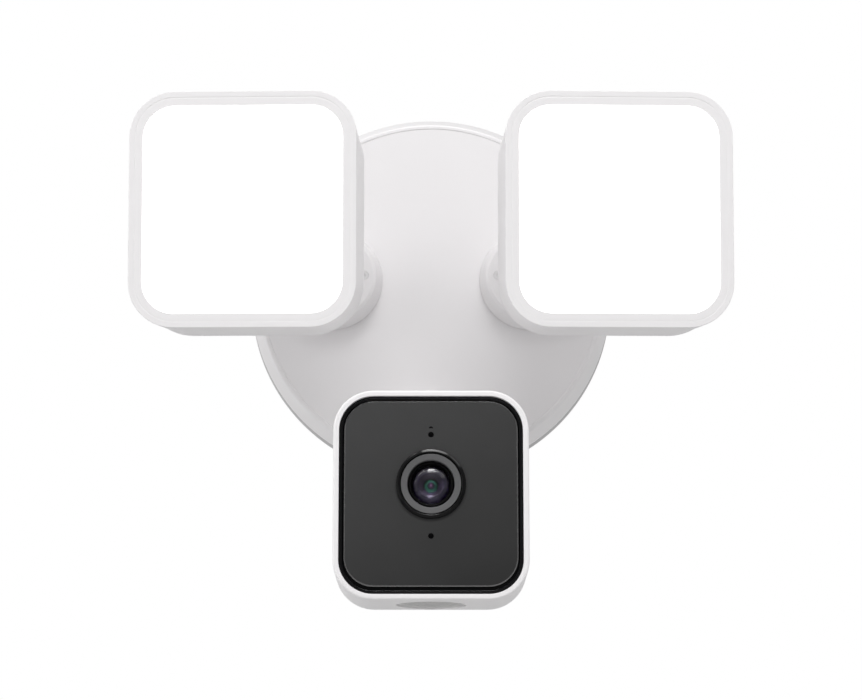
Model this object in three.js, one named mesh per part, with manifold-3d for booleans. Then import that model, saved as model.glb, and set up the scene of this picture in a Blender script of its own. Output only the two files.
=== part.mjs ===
// Wall-mounted floodlight security camera: a round canopy carries two square
// LED flood heads and one camera head, each on a clamped ball joint.
// Millimetres. +Z up, the wall is the plane Y = 0 and the object faces -Y.
// The origin is the centre of the wall bracket's back face.

import * as THREE from 'three';
import { mergeVertices } from 'three/addons/utils/BufferGeometryUtils.js';
import Module from 'manifold-3d';

const wasm = await Module();
wasm.setup();

// ---- driving dimensions -------------------------------------------------
const GAP = 0.3;                 // clearance between touching pieces
const DEG = Math.PI / 180;

// canopy
const BASE_R = 82.2;             // rear rim, on the tray
const LIP_R = 81.6, LIP_Y = -16.3;   // edge between side wall and bevel
const RIDGE_R = 78.4, RIDGE_Y = -23.2;
const RIM_R = 76.2, RIM_Y = -24.35;  // crest of the low rim round the face
const FACE_R = 75.9, FACE_Y = -24;
const SEAM_Y = -12.3;             // split between tray and cover
const WALL = 3;

// bosses on the canopy face
const BOSS_X = 44.6, BOSS_Z = 5.1, BOSS_BACK_R = 22.7, BOSS_FRONT_R = 19.4;
const CAM_BOSS_Z = -59.5, CAM_BOSS_BACK_R = 14, CAM_BOSS_FRONT_R = 12;
const BOSS_FRONT_Y = -36;
const BORE_R = 6.9;
const COVER_SCREW_X = 66.5, COVER_SCREW_Z = -9;

// ball joints
const BALL_R = 13, SEAT_R = 13.35, PIN_R = 1.6, PIN_HOLE_R = 2.0;
const SLOT = 6.4, TONGUE = 5.8, NECK_R = 5.5, ARM_R = 6.5;
const SLOT_ANGLE = 36, SLOT_BOTTOM_R = 6.0;   // tilt room and round bottom of the ball's slot
const BACK_Y = -8;               // back face of a head, from its ball centre

// light heads
const LIGHT_W = 94.9, LIGHT_H = 98.9, LIGHT_R = 19.0, LIGHT_FRONT = -50.4;
const REAR_DROP = 2.0, REAR_ROUND = 3.3;   // the rear outline is this much lower, and rounder at its corners
const LIGHT_WALL = 2.4;
const LIGHT_BALL = [75.9, -77.3, 18.3];
const LIGHT_TILT = 4.7, LIGHT_YAW = 2.7;
const OPEN_W = 83.7, OPEN_H = 87.2, OPEN_R = 13.5;    // opening in the bezel
const PANE_W = 83.0, PANE_H = 86.5, PANE_R = 13.2;

// camera head
const CAM_W = 79.2, CAM_H = 85.2, CAM_R = 16.3, CAM_FRONT = -48.5;
const CAM_WALL = 2.4;
const CAM_BALL = [0, -88.3, -95.2];
const CAM_TILT = -1.6;
const CAM_ZC = -12.2;              // body centre below the ball centre
const LENS_Z = -8;
const DOT_TOP_Z = 12.2, DOT_LOW_Z = -29.1, DOT_R = 1.15;
const SPEAKER_Y = -27, SPEAKER_R = 14;

// ---- small geometry tools -----------------------------------------------
function toSolid(geometry, matrix) {
  let g = geometry.clone();
  for (const name of Object.keys(g.attributes)) if (name !== 'position') g.deleteAttribute(name);
  if (matrix) g.applyMatrix4(matrix);
  g = mergeVertices(g, 1e-4);
  const p = g.attributes.position, index = Array.from(g.index.array), tris = [];
  let volume = 0;
  const a = new THREE.Vector3(), b = new THREE.Vector3(), c = new THREE.Vector3();
  for (let i = 0; i < index.length; i += 3) {
    const [u, v, w] = [index[i], index[i + 1], index[i + 2]];
    if (u === v || v === w || u === w) continue;
    a.fromBufferAttribute(p, u); b.fromBufferAttribute(p, v); c.fromBufferAttribute(p, w);
    volume += a.dot(b.clone().cross(c));
    tris.push([u, v, w]);
  }
  if (volume < 0) for (const t of tris) t.reverse();
  return new wasm.Manifold(new wasm.Mesh({
    numProp: 3, vertProperties: new Float32Array(p.array), triVerts: new Uint32Array(tris.flat()),
  }));
}

function toGeometry(solid) {
  const m = solid.getMesh(), g = new THREE.BufferGeometry();
  g.setAttribute('position', new THREE.BufferAttribute(new Float32Array(m.vertProperties), 3));
  g.setIndex(Array.from(m.triVerts));
  g.computeVertexNormals();
  return g;
}

const move = (x, y, z) => new THREE.Matrix4().makeTranslation(x, y, z);

// outline of a rounded rectangle in the XZ plane, as a THREE.Shape
function outline(w, h, r, cx = 0, cz = 0) {
  const s = new THREE.Shape(), x = w / 2, z = h / 2;
  s.absarc(cx + x - r, cz + z - r, r, 0, Math.PI / 2);
  s.absarc(cx - x + r, cz + z - r, r, Math.PI / 2, Math.PI);
  s.absarc(cx - x + r, cz - z + r, r, Math.PI, 1.5 * Math.PI);
  s.absarc(cx + x - r, cz - z + r, r, 1.5 * Math.PI, 2 * Math.PI);
  return s;
}

// solid through rounded rectangles: rows of [y, width, height, radius]
function stack(rows, cz = 0, n = 3) {
  const rings = rows.map(([y, w, h, r]) => {
    const pts = outline(w, h, r, 0, cz).getPoints(n);
    pts.pop();
    return pts.filter((p, i) => i === 0 || p.distanceTo(pts[i - 1]) > 1e-6).map((p) => [p.x, y, p.y]);
  });
  const count = rings[0].length, pos = [], index = [];
  for (const ring of rings) for (const p of ring) pos.push(...p);
  for (let k = 0; k < rings.length - 1; k++) {
    for (let i = 0; i < count; i++) {
      const j = (i + 1) % count, a = k * count + i, b = k * count + j;
      index.push(a, b, a + count, b, b + count, a + count);
    }
  }
  const c0 = pos.length / 3;
  pos.push(0, rows[0][0], cz, 0, rows[rows.length - 1][0], cz);
  const last = (rings.length - 1) * count;
  for (let i = 0; i < count; i++) {
    const j = (i + 1) % count;
    index.push(c0, j, i, c0 + 1, last + i, last + j);
  }
  const g = new THREE.BufferGeometry();
  g.setAttribute('position', new THREE.BufferAttribute(new Float32Array(pos), 3));
  g.setIndex(index);
  return toSolid(g);
}

const slab = (w, h, r, y0, y1, cz = 0, n = 3) => stack([[y0, w, h, r], [y1, w, h, r]], cz, n);

// turned solid about the Y axis: profile points are [radius, y]
function turned(profile, n = 22, x = 0, z = 0) {
  const g = new THREE.LatheGeometry(profile.map(([r, y]) => new THREE.Vector2(r, y)), n);
  return toSolid(g, move(x, 0, z));
}

const disc = (r, y0, y1, n = 16, x = 0, z = 0) => turned([[0, y0], [r, y0], [r, y1], [0, y1]], n, x, z);

function box(x0, x1, y0, y1, z0, z1) {
  return toSolid(new THREE.BoxGeometry(Math.abs(x1 - x0), Math.abs(y1 - y0), Math.abs(z1 - z0)),
    move((x0 + x1) / 2, (y0 + y1) / 2, (z0 + z1) / 2));
}

// upright cylinder along Z
function post(r, z0, z1, n, x, y) {
  const g = new THREE.CylinderGeometry(r, r, z1 - z0, n);
  g.rotateX(Math.PI / 2);
  return toSolid(g, move(x, y, (z0 + z1) / 2));
}

// cylinder along X
function bar(r, x0, x1, n = 16) {
  const g = new THREE.CylinderGeometry(r, r, x1 - x0, n);
  g.rotateZ(Math.PI / 2);
  return toSolid(g, move((x0 + x1) / 2, 0, 0));
}

const arc = (r, a0, a1, n) => Array.from({ length: n + 1 }, (_, i) => {
  const a = (a0 + (a1 - a0) * i / n) * DEG;
  return [r * Math.sin(a), r * Math.cos(a)];       // polar angle from +Y
});

// ---- scene graph --------------------------------------------------------
const group = new THREE.Group();
const finishes = {
  white: [0xe9e9ea, 0.42, 0], socket: [0xe3e3e4, 0.45, 0], pane: [0xffffff, 0.35, 0],
  black: [0x0b0b0c, 0.12, 0], plate: [0x3b3c3d, 0.32, 0], rubber: [0x2b2b2c, 0.8, 0],
  steel: [0xb4b6b8, 0.35, 1], zinc: [0xc3c4c2, 0.45, 1], alu: [0xbfc1c4, 0.4, 1],
  board: [0x1f5a34, 0.55, 0], whiteboard: [0xeef0ee, 0.5, 0.1], ring: [0x57585a, 0.35, 0.2],
  glass: [0x1a1430, 0.03, 0], dark: [0x141416, 0.5, 0], foam: [0x303033, 0.9, 0],
  green: [0x2f7a46, 0.5, 0], grille: [0x6d6f72, 0.5, 0.3], lamp: [0x8fb4d8, 0.15, 0], tray: [0xc4c2c3, 0.48, 0],
};

function piece(parent, name, solid, finish) {
  const [color, roughness, metalness] = finishes[finish];
  const m = new THREE.Mesh(toGeometry(solid), new THREE.MeshStandardMaterial({ color, roughness, metalness }));
  m.name = name;
  parent.add(m);
  return m;
}

// ---- wall unit ----------------------------------------------------------
{
  piece(group, 'wall_gasket', turned([[73, 0], [81.2, 0], [81.2, -3], [73, -3], [73, 0]], 36), 'foam');

  let bracket = slab(140, 28, 4, 0, -2, 0, 3);
  for (const s of [-1, 1]) {
    bracket = bracket.subtract(slab(16, 4.6, 2.25, 1, -3, 0, 4).translate([s * 42, 0, 0]));
    bracket = bracket.subtract(disc(2.3, 1, -3, 12, s * COVER_SCREW_X, COVER_SCREW_Z));
  }
  bracket = bracket.add(box(-62, 62, -1.5, -2.9, 12.2, 14)).add(box(-62, 62, -1.5, -2.9, -14, -12.2));
  piece(group, 'wall_bracket', bracket, 'zinc');

  let tray = turned([[0, -3.3], [81.4, -3.3], [BASE_R, -4.2], [BASE_R, SEAM_Y + GAP], [79.2, SEAM_Y + GAP], [79.0, -5.7], [0, -5.7]], 36);
  tray = tray.subtract(disc(11, 0, -9, 24, 0, 30));
  for (const s of [-1, 1]) tray = tray.subtract(disc(2.4, 0, -9, 12, s * COVER_SCREW_X, COVER_SCREW_Z));
  piece(group, 'base_tray', tray, 'tray');

  let cover = turned([[0, FACE_Y], [FACE_R, FACE_Y], [RIM_R, RIM_Y], [RIM_R + 1, RIM_Y], [RIDGE_R, RIDGE_Y],
    [LIP_R, LIP_Y], [BASE_R, SEAM_Y], [79.2, SEAM_Y], [78.6, -16.0], [75.0, FACE_Y + WALL], [0, FACE_Y + WALL]], 36);
  for (const [x, z] of [[-BOSS_X, BOSS_Z], [BOSS_X, BOSS_Z], [0, CAM_BOSS_Z]]) {
    cover = cover.subtract(disc(BORE_R, -30, -15, 20, x, z));
  }
  for (const s of [-1, 1]) cover = cover.subtract(disc(2.3, -30, -15, 12, s * COVER_SCREW_X, COVER_SCREW_Z));
  piece(group, 'base_cover', cover, 'white');

  for (const [s, side] of [[-1, 'left'], [1, 'right']]) {
    const x = s * COVER_SCREW_X, z = COVER_SCREW_Z;
    let screw = turned([[0, -1.0], [1.6, -1.0], [2.0, -2], [2.0, FACE_Y - GAP], [3.3, FACE_Y - GAP],
      [3.3, FACE_Y - 1.3], [2.4, FACE_Y - 2.3], [0, FACE_Y - 2.3]], 14, x, z);
    screw = screw.subtract(box(x - 2.1, x + 2.1, FACE_Y - 1.5, FACE_Y - 3, z - 0.4, z + 0.4));
    piece(group, `mount_screw_${side}`, screw, 'steel');
  }

  // power supply board with its transformer, capacitors and relay
  let board = box(-27, 27, -8.2, -9.8, -44, -8);
  board = board.add(box(-22, 0, -9.5, -19.5, -38, -16));
  for (const [x, z] of [[8, -16], [8, -28], [19, -16]]) board = board.add(disc(4.4, -9.5, -18.8, 14, x, z));
  board = board.add(box(13, 25, -9.5, -16, -40, -25));
  for (const [x, z] of [[-24, -41], [24, -41], [-24, -11], [24, -11]]) board = board.add(disc(2.2, -6.0, -8.5, 10, x, z));
  piece(group, 'driver_board', board, 'board');

  let terminals = box(-15, 15, -6, -16, 47, 59);
  for (const x of [-10, 0, 10]) {
    terminals = terminals.subtract(disc(2.0, -12, -17, 10, x, 55)).subtract(box(x - 2.2, x + 2.2, -8, -13, 45, 50));
  }
  piece(group, 'terminal_block', terminals, 'green');
}

// ---- bosses, nuts and arms ----------------------------------------------
function boss(name, x, z, rb, rf) {
  return turned([[BORE_R, FACE_Y - GAP], [rb, FACE_Y - GAP], [rb - 0.4, FACE_Y - 1.2], [rf + 0.9, BOSS_FRONT_Y + 1.1],
    [rf + 0.3, BOSS_FRONT_Y + 0.3], [rf - 0.6, BOSS_FRONT_Y], [BORE_R + 0.6, BOSS_FRONT_Y],
    [BORE_R, BOSS_FRONT_Y + 0.6], [BORE_R, FACE_Y - GAP]], 24, x, z);
}

function tubeAlong(points, radius, steps, sides = 12) {
  const curve = new THREE.CubicBezierCurve3(...points.map((p) => new THREE.Vector3(...p)));
  const circle = new THREE.Shape();
  for (let i = 0; i < sides; i++) {
    const a = 2 * Math.PI * i / sides;
    if (i === 0) circle.moveTo(radius, 0); else circle.lineTo(radius * Math.cos(a), radius * Math.sin(a));
  }
  circle.closePath();
  return toSolid(new THREE.ExtrudeGeometry(circle, { steps, extrudePath: curve, bevelEnabled: false }));
}

// the arm: threaded spigot in the boss, curved stem, and the flat tongue the ball hinges on
function arm(bx, bz, ball) {
  const [x, y, z] = ball;
  const spigot = turned([[0, -15.5], [5.4, -15.5], [6.2, -16.3], [6.2, BOSS_FRONT_Y - 0.1], [ARM_R + 1.1, BOSS_FRONT_Y - 0.5],
    [ARM_R + 1.1, BOSS_FRONT_Y - 2.2], [ARM_R, BOSS_FRONT_Y - 3], [0, BOSS_FRONT_Y - 3]], 14, bx, bz);
  const start = [bx, BOSS_FRONT_Y - 2.6, bz], end = [x, y + 19.5, z];
  const reach = (start[1] - end[1]);
  const stem = tubeAlong([start, [bx, start[1] - reach * 0.72, bz], [x, end[1] + reach * 0.72, z], end], ARM_R, 9);
  const neck = turned([[0, y + 13.4], [4.6, y + 13.4], [NECK_R, y + 14.4], [NECK_R, y + 16.6], [ARM_R, y + 19.0],
    [ARM_R, y + 19.9], [0, y + 19.9]], 12, x, z);
  const tongue = new THREE.Shape();
  tongue.moveTo(0, -5.6);
  tongue.absarc(0, 0, 5.6, -Math.PI / 2, Math.PI / 2, true);
  tongue.lineTo(4, 5.0); tongue.lineTo(14, 5.0); tongue.lineTo(14, -5.0); tongue.lineTo(4, -5.0);
  tongue.closePath();
  // drawn in (y, z) and extruded along X
  const g = new THREE.ExtrudeGeometry(tongue, { depth: TONGUE, bevelEnabled: false, curveSegments: 7 });
  g.applyMatrix4(new THREE.Matrix4().set(0, 0, 1, -TONGUE / 2, 1, 0, 0, 0, 0, 1, 0, 0, 0, 0, 0, 1));
  let blade = toSolid(g).subtract(bar(PIN_HOLE_R, -8, 8));
  // thin the blade inside the neck's round section
  blade = blade.intersect(box(-10, 10, -8, 13.9, -6, 6));
  return spigot.add(stem).add(neck).add(blade.translate([x, y, z]));
}

// hexagon lock nut inside the canopy
const nut = (x, z) => disc(10.5, -20.7, -16.6, 6, x, z).subtract(disc(6.7, -24, -15, 14, x, z));

for (const [s, side] of [[-1, 'left'], [1, 'right']]) {
  let b = boss(side, s * BOSS_X, BOSS_Z, BOSS_BACK_R, BOSS_FRONT_R);
  const lx = s * (BOSS_X - 14.6);
  b = b.subtract(disc(2.3, BOSS_FRONT_Y - 2, BOSS_FRONT_Y + 6, 12, lx, BOSS_Z));
  piece(group, `${side}_socket`, b, 'socket');
  let screw = turned([[0, BOSS_FRONT_Y + 0.7], [1.5, BOSS_FRONT_Y + 0.7], [1.9, BOSS_FRONT_Y + 1.1], [1.9, BOSS_FRONT_Y + 5.6],
    [0, BOSS_FRONT_Y + 5.6]], 12, lx, BOSS_Z);
  screw = screw.subtract(disc(1.0, BOSS_FRONT_Y, BOSS_FRONT_Y + 2.6, 6, lx, BOSS_Z));
  piece(group, `${side}_lock_screw`, screw, 'steel');
  piece(group, `${side}_arm`, arm(s * BOSS_X, BOSS_Z, [s * LIGHT_BALL[0], LIGHT_BALL[1], LIGHT_BALL[2]]), 'white');
  piece(group, `${side}_arm_nut`, nut(s * BOSS_X, BOSS_Z), 'zinc');
}
piece(group, 'camera_socket', boss('camera', 0, CAM_BOSS_Z, CAM_BOSS_BACK_R, CAM_BOSS_FRONT_R), 'socket');
piece(group, 'camera_arm', arm(0, CAM_BOSS_Z, CAM_BALL), 'white');
piece(group, 'camera_arm_nut', nut(0, CAM_BOSS_Z), 'zinc');

// ---- ball joint pieces, in a frame at the ball centre --------------------
function ballSolid() {
  const sphere = toSolid(new THREE.SphereGeometry(BALL_R, 16, 10));
  // the slot is the tongue's swept outline: a round bottom and two straight flanks
  const slot = new THREE.Shape(), a = SLOT_ANGLE * DEG, d = SLOT_BOTTOM_R;
  const cx = -d * Math.sin(a), cz = d * Math.cos(a);
  slot.moveTo(cx + 20 * Math.cos(a), cz + 20 * Math.sin(a));
  slot.lineTo(cx, cz);
  slot.absarc(0, 0, d, a + Math.PI / 2, 1.5 * Math.PI - a, false);
  slot.lineTo(cx + 20 * Math.cos(a), -cz - 20 * Math.sin(a));
  slot.lineTo(26, -cz - 20 * Math.sin(a));
  slot.lineTo(26, cz + 20 * Math.sin(a));
  slot.closePath();
  const g = new THREE.ExtrudeGeometry(slot, { depth: SLOT, bevelEnabled: false, curveSegments: 7 });
  g.applyMatrix4(new THREE.Matrix4().set(0, 0, 1, -SLOT / 2, 1, 0, 0, 0, 0, 1, 0, 0, 0, 0, 0, 1));
  return sphere.subtract(toSolid(g)).subtract(bar(PIN_HOLE_R, -16, 16));
}

function hubSolid() {
  return turned([[0, -16.6], [12.4, -16.6], [16.0, -13.4], [16.0, BACK_Y + GAP], [20.5, BACK_Y + GAP],
    [20.5, BACK_Y + 1.6], [18.2, BACK_Y + 3.2], [17.7, -0.3], ...arc(SEAT_R, 91.3, 180, 7)], 18);
}

function collarSolid() {
  return turned([...arc(SEAT_R, 68, 90, 3), [17.7, 0], [17.5, 3.2], [16.2, 5.0], [14.2, 5.9], [13.0, 5.7],
    arc(SEAT_R, 68, 90, 3)[0]], 18);
}

// ---- light heads --------------------------------------------------------
function lightHead(side, s) {
  const tilt = new THREE.Group();
  tilt.position.set(s * LIGHT_BALL[0], LIGHT_BALL[1], LIGHT_BALL[2]);
  tilt.rotation.x = LIGHT_TILT * DEG;
  group.add(tilt);
  piece(tilt, `${side}_ball`, ballSolid(), 'socket');
  piece(tilt, `${side}_ball_pin`, bar(PIN_R, -11.8, 11.8, 12), 'steel');

  const head = new THREE.Group();
  head.rotation.z = s * LIGHT_YAW * DEG;
  tilt.add(head);
  piece(head, `${side}_hub`, hubSolid(), 'white');
  piece(head, `${side}_collar`, collarSolid(), 'white');

  const w = LIGHT_W, h = LIGHT_H, r = LIGHT_R, f = LIGHT_FRONT, t = LIGHT_WALL;
  const row = (y, inset) => {
    const k = (y - f) / (BACK_Y - f);            // 0 at the front, 1 at the back
    return [y, w - 2 * inset, h - 2 * inset - REAR_DROP * k, r - inset + REAR_ROUND * k];
  };
  let housing = stack([row(BACK_Y, 1.2), row(BACK_Y - 0.4, 0.2), row(BACK_Y - 0.9, -0.3), row(BACK_Y - 2.1, -0.3),
    row(BACK_Y - 2.4, 0), row(f + 0.4, 0), row(f, 0.35)]);
  housing = housing.subtract(stack([row(BACK_Y - 2.4, t), row(f - 1, t)]));
  housing = housing.subtract(disc(16.4, BACK_Y - 4, BACK_Y + 2, 18));
  piece(head, `${side}_housing`, housing, 'white');

  let sink = slab(78, 80, 8, -21.4, -23.8, 0, 4);
  for (const x of [-33, -28, -23, 23, 28, 33]) sink = sink.add(box(x - 0.8, x + 0.8, -12, -22, -32, 32));
  piece(head, `${side}_heat_sink`, sink, 'alu');

  let leds = slab(74, 76, 6, -24.1, -25.7, 0, 4);
  for (const x of [-24, 0, 24]) for (const z of [-24, 0, 24]) leds = leds.add(box(x - 2, x + 2, -25.4, -26.5, z - 2, z + 2));
  piece(head, `${side}_led_board`, leds, 'whiteboard');

  const guide = stack([[-27.0, 80, 82.4, 11.5], [-43.6, 89.3, 92.3, 16.6]])
    .subtract(stack([[-26.0, 76.6, 79, 10], [-44.5, 86.2, 89.2, 14.5]]));
  piece(head, `${side}_reflector`, guide, 'whiteboard');

  piece(head, `${side}_diffuser_seal`, slab(89.3, 92.3, 16.6, -44.0, -45.4).subtract(slab(83, 85.8, 13.4, -42, -47)), 'rubber');

  piece(head, `${side}_diffuser`, stack([[-45.7, 89.3, 92.9, 16.6], [-47.4, 89.3, 92.9, 16.6]])
    .add(stack([[-46.9, PANE_W, PANE_H, PANE_R], [-49.6, PANE_W, PANE_H, PANE_R], [-49.9, PANE_W - 0.7, PANE_H - 0.7, PANE_R - 0.3]])), 'pane');

  piece(head, `${side}_bezel`, stack([[-47.7, 89.5, 93.2, 16.4], [-50.1, 89.5, 93.2, 16.4], [-50.37, 89.0, 92.7, 16.15]])
    .subtract(slab(OPEN_W, OPEN_H, OPEN_R, -46.5, -51)), 'white');
}
lightHead('left', -1);
lightHead('right', 1);

// ---- camera head --------------------------------------------------------
{
  const tilt = new THREE.Group();
  tilt.position.set(...CAM_BALL);
  tilt.rotation.x = CAM_TILT * DEG;
  group.add(tilt);
  piece(tilt, 'camera_ball', ballSolid(), 'socket');
  piece(tilt, 'camera_ball_pin', bar(PIN_R, -11.8, 11.8, 12), 'steel');

  const head = new THREE.Group();
  tilt.add(head);
  piece(head, 'camera_hub', hubSolid(), 'white');
  piece(head, 'camera_collar', collarSolid(), 'white');

  const w = CAM_W, h = CAM_H, r = CAM_R, f = CAM_FRONT, t = CAM_WALL, zc = CAM_ZC;
  const bottom = zc - h / 2;

  let back = stack([[BACK_Y, w - 6, h - 6, r - 3], [BACK_Y - 0.9, w - 2.6, h - 2.6, r - 1.3], [BACK_Y - 2.8, w, h, r],
    [-12, w, h, r]], zc);
  back = back.subtract(slab(w - 2 * t, h - 2 * t, r - t, -10.4, -14, zc));
  back = back.subtract(disc(16.4, -14, BACK_Y + 2, 18));
  back = back.subtract(disc(3.0, -14, BACK_Y + 2, 16, 0, -42));
  piece(head, 'camera_back_cover', back, 'white');

  let shell = stack([[-12.3, w, h, r], [f + 1.5, w, h, r], [f + 0.4, w - 0.7, h - 0.7, r - 0.35], [f, w - 2.0, h - 2.0, r - 1.0]], zc);
  shell = shell.subtract(slab(w - 2 * t, h - 2 * t, r - t, -11, f - 1, zc));
  shell = shell.subtract(post(SPEAKER_R + GAP, bottom - 2, bottom + 6, 24, 0, SPEAKER_Y));
  piece(head, 'camera_housing', shell, 'white');

  let grille = post(SPEAKER_R, bottom + 0.7, bottom + 2.3, 24, 0, SPEAKER_Y);
  for (const rr of [4, 8]) {
    grille = grille.subtract(post(rr + 0.8, bottom, bottom + 1.3, 18, 0, SPEAKER_Y)
      .subtract(post(rr - 0.8, bottom - 1, bottom + 2, 18, 0, SPEAKER_Y)));
  }
  piece(head, 'speaker_grille', grille, 'grille');
  piece(head, 'speaker', post(12, bottom + 3.2, bottom + 6, 16, 0, SPEAKER_Y).add(post(8, bottom + 5.8, bottom + 10.5, 12, 0, SPEAKER_Y)), 'dark');

  const pw = w - 2 * t - 0.4, ph = h - 2 * t - 0.4, pr = r - t - 0.2;
  let panel = stack([[-43, pw, ph, pr], [-47.3, pw, ph, pr], [-47.6, pw - 0.6, ph - 0.6, pr - 0.3]], zc);
  panel = panel.subtract(slab(70.8, 77.1, 12.3, -46.0, -49, zc));
  panel = panel.subtract(disc(14.4, -42, -49, 24, 0, LENS_Z));
  for (const z of [DOT_TOP_Z, DOT_LOW_Z]) panel = panel.subtract(disc(DOT_R + GAP, -42, -49, 12, 0, z));
  piece(head, 'face_panel', panel, 'black');

  let plate = stack([[-46.3, 70.2, 76.5, 12.0], [-47.7, 70.2, 76.5, 12.0], [-48.1, 69.4, 75.7, 11.6]], zc);
  plate = plate.subtract(disc(14.4, -42, -49, 24, 0, LENS_Z));
  for (const z of [DOT_TOP_Z, DOT_LOW_Z]) plate = plate.subtract(disc(DOT_R + GAP, -42, -49, 12, 0, z));
  piece(head, 'face_plate', plate, 'plate');

  const at = (profile, n = 24) => turned(profile, n, 0, LENS_Z);
  piece(head, 'lens_ring', at([[12.5, -42.5], [14.1, -42.5], [14.1, -49.2], [13.8, -49.5], [12.7, -49.8], [12.5, -49.6], [12.5, -42.5]]), 'black');
  piece(head, 'lens_bezel', at([[9.5, -43], [12.2, -43], [12.2, -49.3], [9.9, -48.9], [9.5, -48.5], [9.5, -43]]), 'ring');
  piece(head, 'lens_barrel', at([[0, -30.5], [10, -30.5], [10, -42.0], [9.2, -42.6], [9.2, -47.7], [8.6, -47.7], [8.1, -46.7], [8.1, -43.4],
    [4.6, -41.0], [4.6, -33], [0, -33]]), 'dark');
  piece(head, 'lens_glass', at([[0, -43.4], [5.0, -43.4], [7.6, -44.4], [7.7, -45.5], [6.2, -46.3], [3.4, -47.0], [0, -47.3]]), 'glass');
  piece(head, 'light_sensor', turned([[0, -41], [DOT_R, -41], [DOT_R, -47.7], [0.6, -48.0], [0, -48.0]], 12, 0, DOT_TOP_Z), 'dark');
  piece(head, 'status_light', turned([[0, -41], [DOT_R, -41], [DOT_R, -47.7], [0.6, -48.0], [0, -48.0]], 12, 0, DOT_LOW_Z), 'lamp');

  let sensor = box(-16, 16, -28.2, -29.4, LENS_Z - 15, LENS_Z + 15);
  sensor = sensor.add(box(-5, 5, -29.2, -30.2, LENS_Z - 5, LENS_Z + 5));
  piece(head, 'sensor_board', sensor, 'board');

  let main = box(-31, 31, -22.4, -24, -39.5, 23);
  main = main.add(box(-12, 12, -23.8, -27.4, -28, -8)).add(box(-29, -18, -23.8, -26.2, 4, 20)).add(box(16, 30, -23.8, -27, -6, 14));
  piece(head, 'main_board', main, 'board');

  piece(head, 'reset_button', turned([[0, -6.9], [2.0, -6.9], [2.5, -7.4], [2.5, -10.9], [3.8, -10.9], [3.8, -12.2], [0, -12.2]], 16, 0, -42), 'dark');
}

export default group;
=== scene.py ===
import bpy
import bmesh
import math
from mathutils import Matrix, Vector


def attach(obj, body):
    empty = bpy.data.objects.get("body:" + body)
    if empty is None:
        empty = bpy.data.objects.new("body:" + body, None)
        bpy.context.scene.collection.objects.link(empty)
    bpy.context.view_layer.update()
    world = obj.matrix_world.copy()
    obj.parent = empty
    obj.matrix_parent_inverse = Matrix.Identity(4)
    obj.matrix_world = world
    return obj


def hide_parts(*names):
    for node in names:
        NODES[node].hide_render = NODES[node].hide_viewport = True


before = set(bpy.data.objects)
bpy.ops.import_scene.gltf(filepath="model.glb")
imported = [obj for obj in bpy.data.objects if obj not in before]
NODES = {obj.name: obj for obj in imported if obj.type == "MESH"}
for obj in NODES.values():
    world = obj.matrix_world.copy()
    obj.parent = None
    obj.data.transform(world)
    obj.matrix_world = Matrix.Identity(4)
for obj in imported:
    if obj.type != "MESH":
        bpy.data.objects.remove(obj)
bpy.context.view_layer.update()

MM = 0.001
rad = math.radians

# ---------------------------------------------------------------- camera
EYE = (0.0, -1.18379, -0.23489)
PITCH = 10.173
cam_data = bpy.data.cameras.new("camera")
cam_data.lens = 109.22
cam_data.sensor_width = 36.0
cam_data.clip_start = 0.01
cam = bpy.data.objects.new("camera", cam_data)
cam.location = EYE
cam.rotation_euler = (rad(90 + PITCH), 0, 0)
bpy.context.scene.collection.objects.link(cam)
bpy.context.scene.camera = cam


# ---------------------------------------------------------------- mesh tools
def make(name, verts, faces, matrix, material, slot, body, angle=32.0, weighted=True):
    """Mesh from millimetre vertices, placed by matrix, riding on a body."""
    me = bpy.data.meshes.new(name)
    place = Matrix.Scale(MM, 4) @ matrix
    me.from_pydata([place @ Vector(v) for v in verts], [], faces)
    bm = bmesh.new()
    bm.from_mesh(me)
    bmesh.ops.remove_doubles(bm, verts=bm.verts, dist=1e-8)
    bmesh.ops.recalc_face_normals(bm, faces=bm.faces)
    bm.to_mesh(me)
    bm.free()
    ob = bpy.data.objects.new(name, me)
    bpy.context.scene.collection.objects.link(ob)
    dress(ob, material, body, angle, weighted)
    return ob


def dress(ob, material, body, angle=32.0, weighted=True):
    ob.data.materials.clear()
    if material is not None:
        ob.data.materials.append(material)
    shade(ob, angle)
    if weighted:
        w = ob.modifiers.new("normals", "WEIGHTED_NORMAL")
        w.keep_sharp = True
        w.weight = 60
    if body:
        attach(ob, body)
    return ob


def shade(ob, angle):
    for p in ob.data.polygons:
        p.use_smooth = True
    ob.data.set_sharp_from_angle(angle=rad(angle))


def bake(ob):
    """Replaces the object's mesh by its evaluated one and drops the modifiers."""
    bpy.context.view_layer.update()
    dg = bpy.context.evaluated_depsgraph_get()
    me = bpy.data.meshes.new_from_object(ob.evaluated_get(dg))
    ob.modifiers.clear()
    old = ob.data
    ob.data = me
    bpy.data.meshes.remove(old)
    return ob


def solid(verts, faces, matrix):
    """A throwaway object used as a boolean operand."""
    me = bpy.data.meshes.new("operand")
    place = Matrix.Scale(MM, 4) @ matrix
    me.from_pydata([place @ Vector(v) for v in verts], [], faces)
    bm = bmesh.new()
    bm.from_mesh(me)
    bmesh.ops.remove_doubles(bm, verts=bm.verts, dist=1e-8)
    bmesh.ops.recalc_face_normals(bm, faces=bm.faces)
    bm.to_mesh(me)
    bm.free()
    ob = bpy.data.objects.new("operand", me)
    bpy.context.scene.collection.objects.link(ob)
    return ob


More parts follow.
